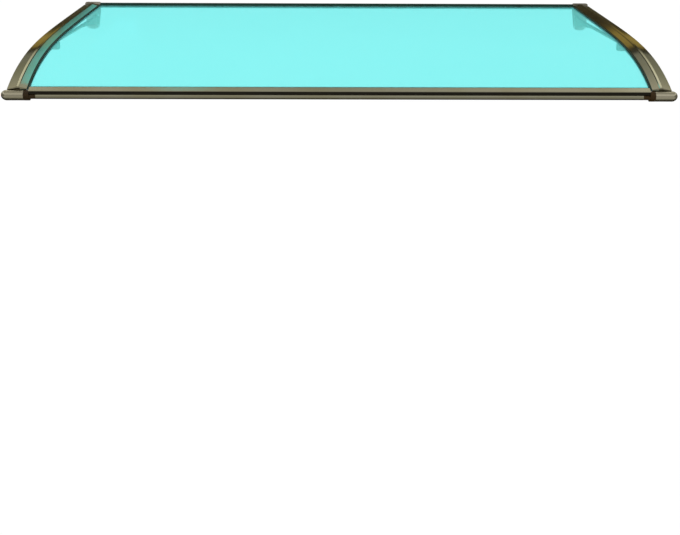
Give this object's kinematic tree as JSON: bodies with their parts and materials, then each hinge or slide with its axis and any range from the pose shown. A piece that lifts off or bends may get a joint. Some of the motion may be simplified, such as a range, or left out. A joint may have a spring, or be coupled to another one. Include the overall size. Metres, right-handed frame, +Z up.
{
  "type": "curved door canopy",
  "caption": "Curved wall-mounted door canopy: tinted polycarbonate sheet between two arched arms, with a front bar, rounded end noses, a wall rail and strutted wall brackets.",
  "frame": {"origin": "centre of the wall rail's back face, on the wall plane", "axes": "+X along the wall, to the right seen from the front; +Y into the wall, so the canopy reaches out along -Y; +Z up"},
  "size_m": [1.528, 0.8126, 0.1726],
  "materials": {
    "tinted_sheet": "clear cyan tint, gloss",
    "bronze": "bronze coating, semi-gloss",
    "nose_bronze": "light bronze coating, semi-gloss",
    "dark_bronze": "dark bronze coating, semi-gloss",
    "collar_plastic": "dark brown, semi-gloss",
    "gasket_rubber": "dark green, matt",
    "screw_steel": "plain steel"
  },
  "bodies": {
    "root": {"canopy_sheet": "tinted_sheet", "front_bar": "bronze", "wall_rail": "dark_bronze", "wall_seal": "gasket_rubber", "rail_gasket_upper": "gasket_rubber", "rail_gasket_lower": "gasket_rubber", "bar_gasket_upper": "gasket_rubber", "bar_gasket_lower": "gasket_rubber", "wall_bracket_right": "dark_bronze", "arm_base_right": "bronze", "arm_cover_right": "bronze", "arm_gasket_upper_right": "gasket_rubber", "arm_gasket_lower_right": "gasket_rubber", "nose_cap_right": "nose_bronze", "bar_collar_right": "collar_plastic", "arm_screw_right_1": "screw_steel", "arm_screw_right_2": "screw_steel", "arm_screw_right_3": "screw_steel", "arm_screw_right_4": "screw_steel", "arm_screw_right_5": "screw_steel", "arm_screw_right_6": "screw_steel", "bar_screw_right": "screw_steel", "wall_bracket_left": "dark_bronze", "arm_base_left": "bronze", "arm_cover_left": "bronze", "arm_gasket_upper_left": "gasket_rubber", "arm_gasket_lower_left": "gasket_rubber", "nose_cap_left": "nose_bronze", "bar_collar_left": "collar_plastic", "arm_screw_left_1": "screw_steel", "arm_screw_left_2": "screw_steel", "arm_screw_left_3": "screw_steel", "arm_screw_left_4": "screw_steel", "arm_screw_left_5": "screw_steel", "arm_screw_left_6": "screw_steel", "bar_screw_left": "screw_steel"}
  },
  "joints": []
}
